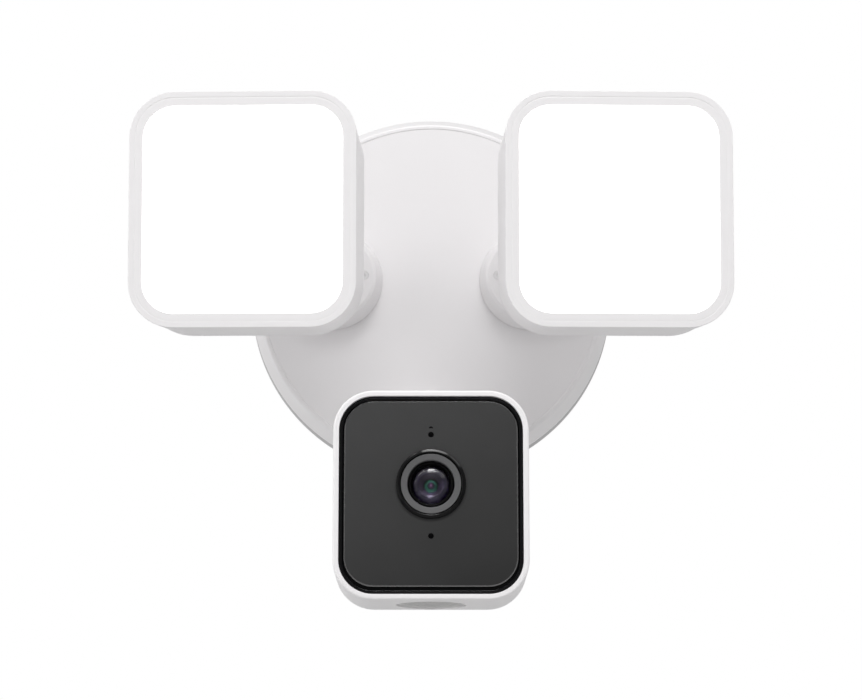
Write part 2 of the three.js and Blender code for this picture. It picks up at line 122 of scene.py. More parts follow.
def combine(ob, parts, op="DIFFERENCE", edge=0.0, angle=32.0, edge_segments=2):
    """Boolean of ob with operand solids, then a fine bevel on its hard edges."""
    for part in parts:
        b = ob.modifiers.new("cut", "BOOLEAN")
        b.operation = op
        b.solver = "EXACT"
        b.object = part
        bake(ob)
        me = part.data
        bpy.data.objects.remove(part)
        bpy.data.meshes.remove(me)
    bm = bmesh.new()
    bm.from_mesh(ob.data)
    bmesh.ops.remove_doubles(bm, verts=bm.verts, dist=2e-6)
    bmesh.ops.dissolve_degenerate(bm, edges=bm.edges, dist=1e-6)
    bm.to_mesh(ob.data)
    bm.free()
    if edge:
        v = ob.modifiers.new("edge", "BEVEL")
        v.limit_method = "ANGLE"
        v.angle_limit = rad(50)
        v.width = edge * MM
        v.segments = edge_segments
        v.use_clamp_overlap = True
        bake(ob)
    shade(ob, angle)
    w = ob.modifiers.new("normals", "WEIGHTED_NORMAL")
    w.keep_sharp = True
    w.weight = 60
    return ob


def soft(points, r=0.4, seg=4, closed=False):
    """Rounds a profile's corners with true arcs. A point may carry its own radius."""
    pts = [(p[0], p[1], p[2] if len(p) > 2 else r) for p in points]
    n = len(pts)
    out = []
    for i, (x, y, rr_) in enumerate(pts):
        if (not closed and i in (0, n - 1)) or rr_ <= 0:
            out.append((x, y))
            continue
        a = Vector(pts[i - 1][:2]) - Vector((x, y))
        b = Vector(pts[(i + 1) % n][:2]) - Vector((x, y))
        la, lb = a.length, b.length
        if la < 1e-6 or lb < 1e-6:
            out.append((x, y))
            continue
        a.normalize()
        b.normalize()
        c = max(-1.0, min(1.0, a.dot(b)))
        inner = math.acos(c)
        if inner > rad(176):
            out.append((x, y))
            continue
        t = min(rr_ / math.tan(inner / 2), 0.46 * la, 0.46 * lb)
        p1 = Vector((x, y)) + a * t
        p2 = Vector((x, y)) + b * t
        w = math.sin(inner / 2)
        k = max(2, int(round(seg * (math.pi - inner) / (math.pi / 2))))
        for j in range(k + 1):
            u = j / k
            d = (1 - u) ** 2 + 2 * w * u * (1 - u) + u * u
            q = (p1 * (1 - u) ** 2 + Vector((x, y)) * 2 * w * u * (1 - u) + p2 * u * u) / d
            out.append((q.x, q.y))
    return out


def arc(r, a0, a1, n):
    """Points (radius, y) on a sphere of radius r, polar angle from +Y in degrees."""
    return [(r * math.sin(rad(a0 + (a1 - a0) * i / n)), r * math.cos(rad(a0 + (a1 - a0) * i / n)), 0) for i in range(n + 1)]


def rr(w, h, r, n=14):
    pts = []
    for sx, sz, a0 in ((1, 1, 0), (-1, 1, 90), (-1, -1, 180), (1, -1, 270)):
        cx, cz = sx * (w / 2 - r), sz * (h / 2 - r)
        for i in range(n + 1):
            a = rad(a0 + 90 * i / n)
            pts.append((cx + r * math.cos(a), cz + r * math.sin(a)))
    return pts


def shell(w, h, r, profile, zc=0.0, n=14, closed=False, drop=None):
    """Rounded-rectangle loft: profile points are (inset from the outline, y).
    drop(y) gives how much lower and how much rounder the outline is there."""
    verts, faces, rings = [], [], []
    for inset, y in profile:
        dh, dr = drop(y) if drop else (0.0, 0.0)
        ring = rr(w - 2 * inset, h - dh - 2 * inset, max(r + dr - inset, 0.3), n)
        rings.append(len(verts))
        verts += [(x, y, z + zc) for x, z in ring]
    m = len(rr(w, h, r, n))
    pairs = list(zip(rings[:-1], rings[1:])) + ([(rings[-1], rings[0])] if closed else [])
    for a, b in pairs:
        for i in range(m):
            j = (i + 1) % m
            faces.append((a + i, a + j, b + j, b + i))
    if not closed:
        faces.append(tuple(rings[0] + i for i in range(m)))
        faces.append(tuple(rings[-1] + i for i in reversed(range(m))))
    return verts, faces


def lathe(profile, n=96, x=0.0, z=0.0, closed=False, wave=None):
    """Turned about an axis along Y at (x, z): profile points are (radius, y)."""
    verts, faces, rings = [], [], []
    for k, (r, y) in enumerate(profile):
        if r < 1e-6:
            rings.append((len(verts), 1))
            verts.append((x, y, z))
            continue
        rings.append((len(verts), n))
        for i in range(n):
            t = 2 * math.pi * i / n
            q = r if wave is None else wave(r, y, t)
            verts.append((x + q * math.cos(t), y, z + q * math.sin(t)))
    pairs = list(zip(rings[:-1], rings[1:])) + ([(rings[-1], rings[0])] if closed else [])
    for (a, na), (b, nb) in pairs:
        if na == 1 and nb == 1:
            continue
        for i in range(n):
            j = (i + 1) % n
            if na == 1:
                faces.append((a, b + j, b + i))
            elif nb == 1:
                faces.append((a + i, a + j, b))
            else:
                faces.append((a + i, a + j, b + j, b + i))
    if not closed:
        for s, k in ((rings[0], 0), (rings[-1], 1)):
            if s[1] > 1:
                loop = [s[0] + i for i in range(n)]
                faces.append(tuple(loop if k == 0 else reversed(loop)))
    return verts, faces


def prism(outline, x0, x1):
    """Outline in (y, z), extruded along X."""
    m = len(outline)
    verts = [(x0, y, z) for y, z in outline] + [(x1, y, z) for y, z in outline]
    faces = [tuple(range(m)), tuple(reversed(range(m, 2 * m)))]
    faces += [(i, (i + 1) % m, m + (i + 1) % m, m + i) for i in range(m)]
    return verts, faces


def cuboid(x0, x1, y0, y1, z0, z1):
    return prism([(y0, z0), (y1, z0), (y1, z1), (y0, z1)], x0, x1)


def turn_to(axis):
    """Matrix that stands a lathe (axis Y) along another axis."""
    return {"X": Matrix.Rotation(rad(-90), 4, "Z"), "Z": Matrix.Rotation(rad(90), 4, "X")}[axis]


def sweep(points, radii, n=36):
    """Round section along points with a radius at each, frames carried without twist."""
    pts = [Vector(p) for p in points]
    tang = []
    for i in range(len(pts)):
        a = pts[max(i - 1, 0)]
        b = pts[min(i + 1, len(pts) - 1)]
        tang.append((b - a).normalized())
    ref = Vector((1, 0, 0)) if abs(tang[0].x) < 0.9 else Vector((0, 0, 1))
    u = (ref - tang[0] * ref.dot(tang[0])).normalized()
    verts, faces = [], []
    for i, p in enumerate(pts):
        u = (u - tang[i] * u.dot(tang[i])).normalized()
        v = tang[i].cross(u)
        for k in range(n):
            t = 2 * math.pi * k / n
            verts.append(tuple(p + (u * math.cos(t) + v * math.sin(t)) * radii[i]))
    for i in range(len(pts) - 1):
        for k in range(n):
            j = (k + 1) % n
            faces.append((i * n + k, i * n + j, (i + 1) * n + j, (i + 1) * n + k))
    faces.append(tuple(reversed(range(n))))
    faces.append(tuple(range((len(pts) - 1) * n, len(pts) * n)))
    return verts, faces


# ---------------------------------------------------------------- materials
def new_material(name):
    m = bpy.data.materials.new(name)
    m.use_nodes = True
    nt = m.node_tree
    p = nt.nodes["Principled BSDF"]
    return m, nt, p


def coords(nt):
    return nt.nodes.new("ShaderNodeTexCoord").outputs["Object"]


def noise(nt, co, scale, detail=2.0, rough=0.5):
    n = nt.nodes.new("ShaderNodeTexNoise")
    n.inputs["Scale"].default_value = scale
    n.inputs["Detail"].default_value = detail
    n.inputs["Roughness"].default_value = rough
    nt.links.new(co, n.inputs["Vector"])
    return n.outputs["Fac"]


def span(nt, value, low, high):
    r = nt.nodes.new("ShaderNodeMapRange")
    r.inputs["From Min"].default_value = 0.3
    r.inputs["From Max"].default_value = 0.7
    r.inputs["To Min"].default_value = low
    r.inputs["To Max"].default_value = high
    nt.links.new(value, r.inputs["Value"])
    return r.outputs["Result"]


def tint(nt, value, a, b):
    m = nt.nodes.new("ShaderNodeMix")
    m.data_type = "RGBA"
    m.inputs["A"].default_value = (*a, 1)
    m.inputs["B"].default_value = (*b, 1)
    nt.links.new(value, m.inputs["Factor"])
    return m.outputs["Result"]


def bump(nt, height, strength, distance):
    b = nt.nodes.new("ShaderNodeBump")
    b.inputs["Strength"].default_value = strength
    b.inputs["Distance"].default_value = distance
    nt.links.new(height, b.inputs["Height"])
    return b


def moulded(name, color, rough=0.42, grain=0.10, grain_scale=2600.0, drift=0.012, coat=0.0):
    """Moulded plastic: spark-eroded grain, a slow drift in tone and in gloss."""
    m, nt, p = new_material(name)
    co = coords(nt)
    slow = noise(nt, co, 14.0, 3.0)
    a = tuple(max(0, c - drift) for c in color)
    b = tuple(min(1, c + drift) for c in color)
    nt.links.new(tint(nt, slow, a, b), p.inputs["Base Color"])
    mid = noise(nt, co, 220.0, 3.0)
    nt.links.new(span(nt, mid, rough - 0.05, rough + 0.05), p.inputs["Roughness"])
    fine = noise(nt, co, grain_scale, 2.0, 0.6)
    nt.links.new(bump(nt, fine, grain, 0.00004).outputs["Normal"], p.inputs["Normal"])
    p.inputs["Coat Weight"].default_value = coat
    p.inputs["Coat Roughness"].default_value = 0.15
    return m


def metal(name, color, rough=0.3, brushed=0.0, scale=900.0):
    m, nt, p = new_material(name)
    co = coords(nt)
    p.inputs["Metallic"].default_value = 1.0
    slow = noise(nt, co, 60.0, 4.0)
    nt.links.new(tint(nt, slow, tuple(c * 0.92 for c in color), color), p.inputs["Base Color"])
    fine = noise(nt, co, scale, 4.0, 0.6)
    nt.links.new(span(nt, fine, rough - 0.07, rough + 0.09), p.inputs["Roughness"])
    nt.links.new(bump(nt, fine, 0.15 + brushed, 0.00003).outputs["Normal"], p.inputs["Normal"])
    return m


WHITE = moulded("white_shell", (0.865, 0.850, 0.857), 0.40)
WHITE_TRIM = moulded("white_trim", (0.885, 0.870, 0.877), 0.36, grain=0.05)
JOINT = moulded("joint_plastic", (0.835, 0.820, 0.827), 0.38, grain=0.07)
# painted shade: this mid grey stands in for the shade on the band behind the cover's lip
TRAY_PAINTED_SHADE = moulded("tray_grey", (0.53, 0.52, 0.525), 0.48)
DARK = moulded("dark_plastic", (0.016, 0.016, 0.018), 0.45, grain=0.2, drift=0.003)
TERMINAL = moulded("terminal_green", (0.05, 0.28, 0.10), 0.42, grain=0.15)
INNER_WHITE = moulded("white_inner", (0.86, 0.86, 0.84), 0.5)
STEEL = metal("screw_steel", (0.60, 0.60, 0.59), 0.26)
ZINC = metal("zinc_steel", (0.66, 0.67, 0.66), 0.38, 0.15, 420.0)
ALU = metal("heat_sink", (0.72, 0.73, 0.74), 0.42, 0.2, 700.0)


def rubber_material(name, color, scale):
    m, nt, p = new_material(name)
    co = coords(nt)
    f = noise(nt, co, scale, 5.0, 0.7)
    nt.links.new(tint(nt, f, tuple(c * 0.75 for c in color), tuple(c * 1.3 for c in color)), p.inputs["Base Color"])
    p.inputs["Roughness"].default_value = 0.82
    nt.links.new(bump(nt, f, 0.5, 0.0002).outputs["Normal"], p.inputs["Normal"])
    return m


RUBBER = rubber_material("seal_rubber", (0.03, 0.03, 0.03), 900.0)
FOAM = rubber_material("gasket_foam", (0.022, 0.022, 0.024), 1600.0)


def opal():
    """Lit opal diffuser: it glows evenly, and has a fine frosted surface."""
    m, nt, p = new_material("diffuser")
    co = coords(nt)
    f = noise(nt, co, 1500.0, 2.0)
    nt.links.new(tint(nt, f, (0.93, 0.93, 0.93), (0.97, 0.97, 0.97)), p.inputs["Base Color"])
    p.inputs["Roughness"].default_value = 0.5
    p.inputs["Emission Color"].default_value = (1.0, 1.0, 1.0, 1)
    p.inputs["Emission Strength"].default_value = 0.75
    nt.links.new(bump(nt, f, 0.12, 0.00004).outputs["Normal"], p.inputs["Normal"])
    return m


DIFFUSER = opal()


PAINTED = moulded("painted_screw", (0.78, 0.77, 0.775), 0.32, grain=0.05)


def board_material(name, base, trace):
    """Solder mask with raised copper runs under it."""
    m, nt, p = new_material(name)
    co = coords(nt)
    wv = nt.nodes.new("ShaderNodeTexBrick")
    wv.inputs["Scale"].default_value = 260.0
    wv.inputs["Mortar Size"].default_value = 0.08
    wv.inputs["Color1"].default_value = (0, 0, 0, 1)
    wv.inputs["Color2"].default_value = (0.2, 0.2, 0.2, 1)
    wv.inputs["Mortar"].default_value = (1, 1, 1, 1)
    mp = nt.nodes.new("ShaderNodeMapping")
    mp.inputs["Rotation"].default_value = (rad(90), 0, 0)
    nt.links.new(co, mp.inputs["Vector"])
    nt.links.new(mp.outputs["Vector"], wv.inputs["Vector"])
    nt.links.new(tint(nt, wv.outputs["Fac"], base, trace), p.inputs["Base Color"])
    p.inputs["Roughness"].default_value = 0.35
    nt.links.new(bump(nt, wv.outputs["Fac"], 0.3, 0.00004).outputs["Normal"], p.inputs["Normal"])
    return m


BOARD = board_material("circuit_board", (0.012, 0.09, 0.03), (0.03, 0.17, 0.06))


def gloss(name, color, rough, level=0.5, coat=0.0, wipe=0.03):
    """Polished plastic: faint wipe marks in the gloss, no grain."""
    m, nt, p = new_material(name)
    co = coords(nt)
    n1 = noise(nt, co, 45.0, 5.0, 0.65)
    nt.links.new(tint(nt, n1, tuple(c * 0.9 for c in color), tuple(c * 1.1 for c in color)), p.inputs["Base Color"])
    nt.links.new(span(nt, n1, max(0.0, rough - wipe), rough + wipe), p.inputs["Roughness"])
    p.inputs["Specular IOR Level"].default_value = level
    p.inputs["Coat Weight"].default_value = coat
    p.inputs["Coat Roughness"].default_value = 0.05
    return m


BLACK = gloss("black_gloss", (0.0025, 0.0025, 0.003), 0.14, level=0.22)
RING_BLACK = gloss("ring_black", (0.0012, 0.0012, 0.0014), 0.09, level=0.22)
BAFFLE = gloss("baffle_black", (0.0015, 0.0015, 0.0016), 0.4, level=0.06)
PIPE = gloss("light_pipe", (0.0012, 0.0012, 0.0014), 0.3, level=0.05)
SENSOR_BLACK = gloss("sensor_black", (0.0012, 0.0012, 0.0013), 0.3, level=0.05)
FACE_EDGE = metal("face_edge", (0.19, 0.19, 0.19), 0.22, 0.0, 500.0)


def face_material():
    """Satin charcoal with painted light: the base colour runs lighter towards the top left and darker towards the
    bottom right; faint wipe marks in the gloss.
    """
    m, nt, p = new_material("face_grey")
    co = coords(nt)
    sp = nt.nodes.new("ShaderNodeSeparateXYZ")
    nt.links.new(co, sp.inputs[0])
    # painted light: a straight ramp over object Z and X lights the top left of the plate and shades its bottom right
    ms = []
    for axis, k in (("Z", 6.0), ("X", -4.2)):
        q = nt.nodes.new("ShaderNodeMath")
        q.operation = "MULTIPLY"
        q.inputs[1].default_value = k
        nt.links.new(sp.outputs[axis], q.inputs[0])
        ms.append(q.outputs[0])
    add = nt.nodes.new("ShaderNodeMath")
    add.operation = "ADD"
    nt.links.new(ms[0], add.inputs[0])
    nt.links.new(ms[1], add.inputs[1])
    painted_light_ramp = nt.nodes.new("ShaderNodeMapRange")
    painted_light_ramp.inputs["From Min"].default_value = -1.05
    painted_light_ramp.inputs["From Max"].default_value = -0.2
    nt.links.new(add.outputs[0], painted_light_ramp.inputs["Value"])
    nt.links.new(tint(nt, painted_light_ramp.outputs["Result"], (0.0165, 0.0165, 0.0165), (0.049, 0.049, 0.0495)), p.inputs["Base Color"])
    n1 = noise(nt, co, 45.0, 5.0, 0.65)
    nt.links.new(span(nt, n1, 0.36, 0.42), p.inputs["Roughness"])
    p.inputs["Specular IOR Level"].default_value = 0.35
    return m


FACE = face_material()
LENS_GREY = gloss("lens_grey", (0.105, 0.105, 0.107), 0.45, level=0.35, wipe=0.03)


def grille_material():
    m, nt, p = new_material("grille_grey")
    co = coords(nt)
    f = noise(nt, co, 1400.0, 3.0)
    nt.links.new(tint(nt, f, (0.58, 0.575, 0.57), (0.70, 0.695, 0.69)), p.inputs["Base Color"])
    p.inputs["Metallic"].default_value = 0.4
    p.inputs["Roughness"].default_value = 0.48
    nt.links.new(bump(nt, f, 0.25, 0.00005).outputs["Normal"], p.inputs["Normal"])
    return m


GRILLE = grille_material()


def glass_material():
    m, nt, p = new_material("lens_glass")
    co = coords(nt)
    f = noise(nt, co, 30.0, 2.0)
    nt.links.new(tint(nt, f, (0.74, 0.64, 0.86), (0.70, 0.68, 0.87)), p.inputs["Base Color"])
    p.inputs["Roughness"].default_value = 0.13
    p.inputs["IOR"].default_value = 1.36
    p.inputs["Transmission Weight"].default_value = 1.0
    return m


GLASS = glass_material()


def coated(name, color, rough, metallic=0.0, film=0.0, coat=1.0):
    m, nt, p = new_material(name)
    co = coords(nt)
    f = noise(nt, co, 90.0, 2.0)
    nt.links.new(tint(nt, f, tuple(c * 0.85 for c in color), color), p.inputs["Base Color"])
    p.inputs["Roughness"].default_value = rough
    p.inputs["Metallic"].default_value = metallic
    p.inputs["Coat Weight"].default_value = coat
    p.inputs["Coat Roughness"].default_value = 0.02
    if film:
        p.inputs["Thin Film Thickness"].default_value = film
    return m


VIOLET = coated("coated_violet", (0.014, 0.006, 0.040), 0.36, 1.0, 0.0, 0.0)
BOWL = coated("coated_bowl", (0.034, 0.029, 0.038), 0.30, 1.0, 0.0, 0.0)
GREEN = coated("coated_green", (0.035, 0.31, 0.11), 0.16, 1.0, 0.0, 0.9)
# painted reflection: the pink of the pupil disc stands in for the glint seen at the lens's centre
PUPIL_PAINTED_GLINT = coated("pupil_painted_glint", (0.55, 0.22, 0.36), 0.2, 0.6, 0.0)


# ---------------------------------------------------------------- frames of the moving bodies
LIGHT_BALL = (75.9, -77.3, 18.3)
LIGHT_TILT, LIGHT_YAW = 4.7, 2.7
CAM_BALL = (0.0, -88.3, -95.2)
CAM_TILT = -1.6
I4 = Matrix.Identity(4)


def at_light(s):
    ball = Matrix.Translation((s * LIGHT_BALL[0], LIGHT_BALL[1], LIGHT_BALL[2])) @ Matrix.Rotation(rad(LIGHT_TILT), 4, "X")
    return ball, ball @ Matrix.Rotation(rad(s * LIGHT_YAW), 4, "Z")


CAM_M = Matrix.Translation(CAM_BALL) @ Matrix.Rotation(rad(CAM_TILT), 4, "X")

# ---------------------------------------------------------------- wall unit
BOSS_X, BOSS_Z, CAM_BOSS_Z = 44.6, 5.1, -59.5
BOSS_Y = -36.0
SCREW_X, SCREW_Z = 66.5, -9.0
W = "wall_unit"

ob = make("wall_gasket_foam", *lathe(soft([(73.1, -0.02), (81.1, -0.02), (81.1, -3.0), (73.1, -3.0)], 0.5, 3, True), 160, closed=True), I4, FOAM, "gasket_foam", W)
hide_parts("wall_gasket")

# the tray's side wall reaches forward to the cover's lip, where its painted-shade grey makes the dark band
tray = make("base_tray_shell", *lathe(soft([(0, -3.3), (81.2, -3.3, 0.5), (82.15, -4.3, 0.5), (81.75, -12.0, 0.2), (79.3, -12.0, 0.3), (79.0, -5.7, 0.5), (0, -5.7)], 0.4, 4), 192), I4, TRAY_PAINTED_SHADE, "tray_grey", W)
cuts = [solid(*lathe([(11.0, 0), (11.0, -9)], 64, 0, 30), I4)]
for s in (-1, 1):
    cuts.append(solid(*lathe([(2.4, 0), (2.4, -9)], 32, s * SCREW_X, SCREW_Z), I4))
combine(tray, cuts, edge=0.25)
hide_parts("base_tray")

cover_profile = soft([(0, -24.0), (75.7, -24.0, 0.2), (76.0, -24.3, 0.3), (77.7, -24.34, 2.8), (81.6, -16.4, 0.3), (81.66, -12.3, 0.3),
                      (79.3, -12.3, 0.3), (78.7, -16.0, 1.0), (75.0, -21.0, 1.5), (0, -21.0)], 0.5, 9)
cover = make("base_cover_shell", *lathe(cover_profile, 256), I4, WHITE, "white_shell", W)
cuts = []
for x, z in ((-BOSS_X, BOSS_Z), (BOSS_X, BOSS_Z), (0, CAM_BOSS_Z)):
    cuts.append(solid(*lathe([(6.9, -30), (6.9, -15)], 64, x, z), I4))
for s in (-1, 1):
    cuts.append(solid(*lathe([(2.3, -30), (2.3, -15)], 32, s * SCREW_X, SCREW_Z), I4))
combine(cover, cuts, edge=0.2)
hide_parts("base_cover")


def cross_recess(x, y0, y1, z, size, matrix):
    """Two crossed tapered bars for a cross-head drive."""
    out = []
    for q in (0, 90):
        v, f = cuboid(-size, size, y0, y1, -size * 0.26, size * 0.26)
        m = matrix @ Matrix.Translation((x, 0, z)) @ Matrix.Rotation(rad(q), 4, "Y")
        out.append(solid(v, f, m))
    return out


for s, side in ((-1, "left"), (1, "right")):
    scr = make(f"mount_screw_{side}_detail", *lathe(soft([(0, -1.0), (1.5, -1.0, 0), (1.98, -2.0), (1.98, -24.3, 0), (3.3, -24.3, 0.2), (3.3, -25.2, 0.5), (2.2, -26.25, 0.6), (0, -26.3)], 0.2, 4), 48, s * SCREW_X, SCREW_Z), I4, STEEL, "screw_steel", W)
    combine(scr, cross_recess(s * SCREW_X, -25.2, -27.5, SCREW_Z, 1.7, I4), edge=0.08)
    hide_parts(f"mount_screw_{side}")


def boss(name, x, z, rb, rf, lock):
    prof = soft([(6.9, -24.3, 0.2), (rb, -24.3, 0.25), (rb - 0.25, -25.3, 1.2), (rf + 0.8, BOSS_Y + 1.1, 1.0), (rf - 0.7, BOSS_Y, 0.9),
                 (8.0, BOSS_Y, 0.4), (6.9, BOSS_Y + 0.6, 0.3)], 0.4, 5, True)
    b = make(f"{name}_boss", *lathe(prof, 128, x, z, closed=True), I4, JOINT, "joint_plastic", W)
    if lock:
        combine(b, [solid(*lathe([(2.02, BOSS_Y - 2), (2.02, BOSS_Y + 6)], 40, lock, z), I4)], edge=0.1)
    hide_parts(f"{name}_socket")
    return b


for s, side in ((-1, "left"), (1, "right")):
    lx = s * (BOSS_X - 14.6)
    boss(side, s * BOSS_X, BOSS_Z, 22.7, 19.4, lx)
    scr = make(f"{side}_lock_screw_detail", *lathe(soft([(0, BOSS_Y + 0.12), (1.93, BOSS_Y + 0.12, 0.1), (1.93, BOSS_Y + 5.5, 0.2), (0, BOSS_Y + 5.5)], 0.2, 3), 40, lx, BOSS_Z), I4, PAINTED, "screw_steel", W)
    combine(scr, [solid(*lathe([(0.85, BOSS_Y - 1), (0.85, BOSS_Y + 0.75)], 6, lx, BOSS_Z), I4)], edge=0.05)
    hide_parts(f"{side}_lock_screw")
boss("camera", 0, CAM_BOSS_Z, 14.0, 12.0, None)


def bezier(p0, p1, p2, p3, n):
    out = []
    for i in range(n + 1):
        t = i / n
        out.append(tuple((1 - t) ** 3 * a + 3 * t * (1 - t) ** 2 * b + 3 * t * t * (1 - t) * c + t ** 3 * d for a, b, c, d in zip(p0, p1, p2, p3)))
    return out


def arm(name, bx, bz, ball):
    x, y, z = ball
    start = (bx, BOSS_Y - 2.6, bz)
    end = (x, y + 19.5, z)
    reach = start[1] - end[1]
    path, radii = [], []
    for yy, r in ((-15.5, 5.3), (-15.9, 5.7), (-16.4, 6.15), (-17.0, 6.2), (BOSS_Y - 0.12, 6.2), (BOSS_Y - 0.14, 7.2), (BOSS_Y - 0.3, 7.5),
                  (BOSS_Y - 0.7, 7.6), (BOSS_Y - 1.7, 7.6), (BOSS_Y - 2.1, 7.45), (BOSS_Y - 2.35, 7.1), (BOSS_Y - 2.5, 6.6)):
        path.append((bx, yy, bz))
        radii.append(r)
    curve = bezier(start, (bx, start[1] - reach * 0.72, bz), (x, end[1] + reach * 0.72, z), end, 44)
    path += curve
    radii += [6.5] * len(curve)
    for dy, r in ((19.0, 6.45), (18.4, 6.25), (17.4, 5.8), (16.6, 5.55), (15.6, 5.5), (14.6, 5.5), (14.1, 5.35), (13.7, 5.0), (13.45, 4.5)):
        path.append((x, y + dy, z))
        radii.append(r)
    a = make(f"{name}_arm_stem", *sweep(path, radii, 40), I4, WHITE_TRIM, "white_shell", W)
    outline = []
    for i in range(25):
        t = rad(90 + 180 * i / 24)
        outline.append((5.55 * math.cos(t), 5.55 * math.sin(t)))
    outline += [(4.0, -4.95), (14.2, -4.0), (14.2, 4.0), (4.0, 4.95)]
    blade = solid(*prism(outline, -2.85, 2.85), Matrix.Translation(ball))
    combine(a, [blade], "UNION")
    hole = solid(*lathe([(2.0, -8), (2.0, 8)], 40), Matrix.Translation(ball) @ turn_to("X"))
    combine(a, [hole], edge=0.12)
    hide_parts(f"{name}_arm")
    nut = NODES[f"{name}_arm_nut"]
    return a


arm("left", -BOSS_X, BOSS_Z, (-LIGHT_BALL[0], LIGHT_BALL[1], LIGHT_BALL[2]))
arm("right", BOSS_X, BOSS_Z, LIGHT_BALL)
arm("camera", 0, CAM_BOSS_Z, CAM_BALL)


# ---------------------------------------------------------------- ball joints
def joint(name, ball_m, head_m, ball_body, head_body):
    # ball with its slot
    v, f = lathe([(0, -13)] + [(13 * math.sin(rad(a)), -13 * math.cos(rad(a))) for a in [i * 180 / 48 for i in range(1, 48)]] + [(0, 13)], 96)
    b = make(f"{name}_ball_sphere", v, f, ball_m, JOINT, "joint_plastic", ball_body)
    a, d = rad(36), 6.0
    cx, cz = -d * math.sin(a), d * math.cos(a)
    outline = [(cx + 20 * math.cos(a), cz + 20 * math.sin(a)), (cx, cz)]
    for i in range(1, 32):
        t = a + math.pi / 2 + (math.pi - 2 * a) * i / 32
        outline.append((d * math.cos(t), d * math.sin(t)))
    outline += [(cx, -cz), (cx + 20 * math.cos(a), -cz - 20 * math.sin(a)), (26, -cz - 20 * math.sin(a)), (26, cz + 20 * math.sin(a))]
    slot = solid(*prism(outline, -3.2, 3.2), ball_m)
    hole = solid(*lathe([(2.0, -16), (2.0, 16)], 40), ball_m @ turn_to("X"))
    combine(b, [slot, hole], edge=0.15)
    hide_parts(f"{name}_ball")
    pin = make(f"{name}_ball_pin_detail", *lathe(soft([(0, -11.8), (1.6, -11.8, 0.4), (1.6, 11.8, 0.4), (0, 11.8)], 0.3, 3), 40), ball_m @ turn_to("X"), STEEL, "screw_steel", ball_body)
    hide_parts(f"{name}_ball_pin")
    # cup fixed in the head's back
    hub = soft([(0, -16.6), (12.4, -16.6, 1.0), (16.0, -13.4, 1.0), (16.0, -7.7, 0), (20.5, -7.7, 0.2), (20.5, -6.6, 0.7), (18.6, -5.2, 1.6), (17.9, -3.6, 1.0), (17.9, -0.4, 0.25),
                (14.2, -0.4, 0.2)] + arc(13.35, 91.8, 180, 24), 0.4, 5)
    h = make(f"{name}_hub_cup", *lathe(hub, 128), head_m, WHITE, "white_shell", head_body)
    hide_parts(f"{name}_hub")
    # clamp collar with finger scallops
    cprof = soft(arc(13.35, 68, 90, 8) + [(17.6, 0.0, 0.3), (17.6, 3.4, 0.8), (16.4, 5.2, 0.8), (14.3, 5.85, 0.5), (13.1, 5.65, 0.3)], 0.4, 5, True)

    def wave(r, y, t):
        if r < 16.9:
            return r
        k = 0.5 + 0.5 * math.cos(20 * t)
        return r - 0.55 * (k ** 6)

    c = make(f"{name}_collar_ring", *lathe(cprof, 320, closed=True, wave=wave), head_m, WHITE_TRIM, "white_shell", head_body)
    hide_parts(f"{name}_collar")


# ---------------------------------------------------------------- light heads
LW, LH, LR = 94.88, 98.9, 19.0


def rear_drop(y):
    """The back of a light head is a little lower than its front and rounder at its corners."""
    k = max(0.0, min(1.0, (y + 50.4) / 42.4))
    return 2.0 * k, 3.3 * k


def back_screws(name, spots, y, matrix, body, cutters):
    """Countersunk fasteners in the back of a head, each in its own recess."""
    verts, faces = [], []
    for x, z in spots:
        cutters.append(solid(*lathe([(2.5, y - 1.6), (2.5, y + 2)], 32, x, z), matrix))
    heads = []
    for x, z in spots:
        v, f = lathe(soft([(0, y - 0.5), (1.4, y - 0.55, 0.4), (2.15, y - 1.0, 0.3), (2.15, y - 1.5, 0.05), (0, y - 1.5)], 0.2, 4), 40, x, z)
        k = len(verts)
        verts += v
        faces += [tuple(i + k for i in q) for q in f]
    o = make(name, verts, faces, matrix, STEEL, "screw_steel", body)
    cr = []
    for x, z in spots:
        cr += cross_recess(x, y - 1.15, y + 1, z, 1.15, matrix)
    combine(o, cr, edge=0.0)
    return o


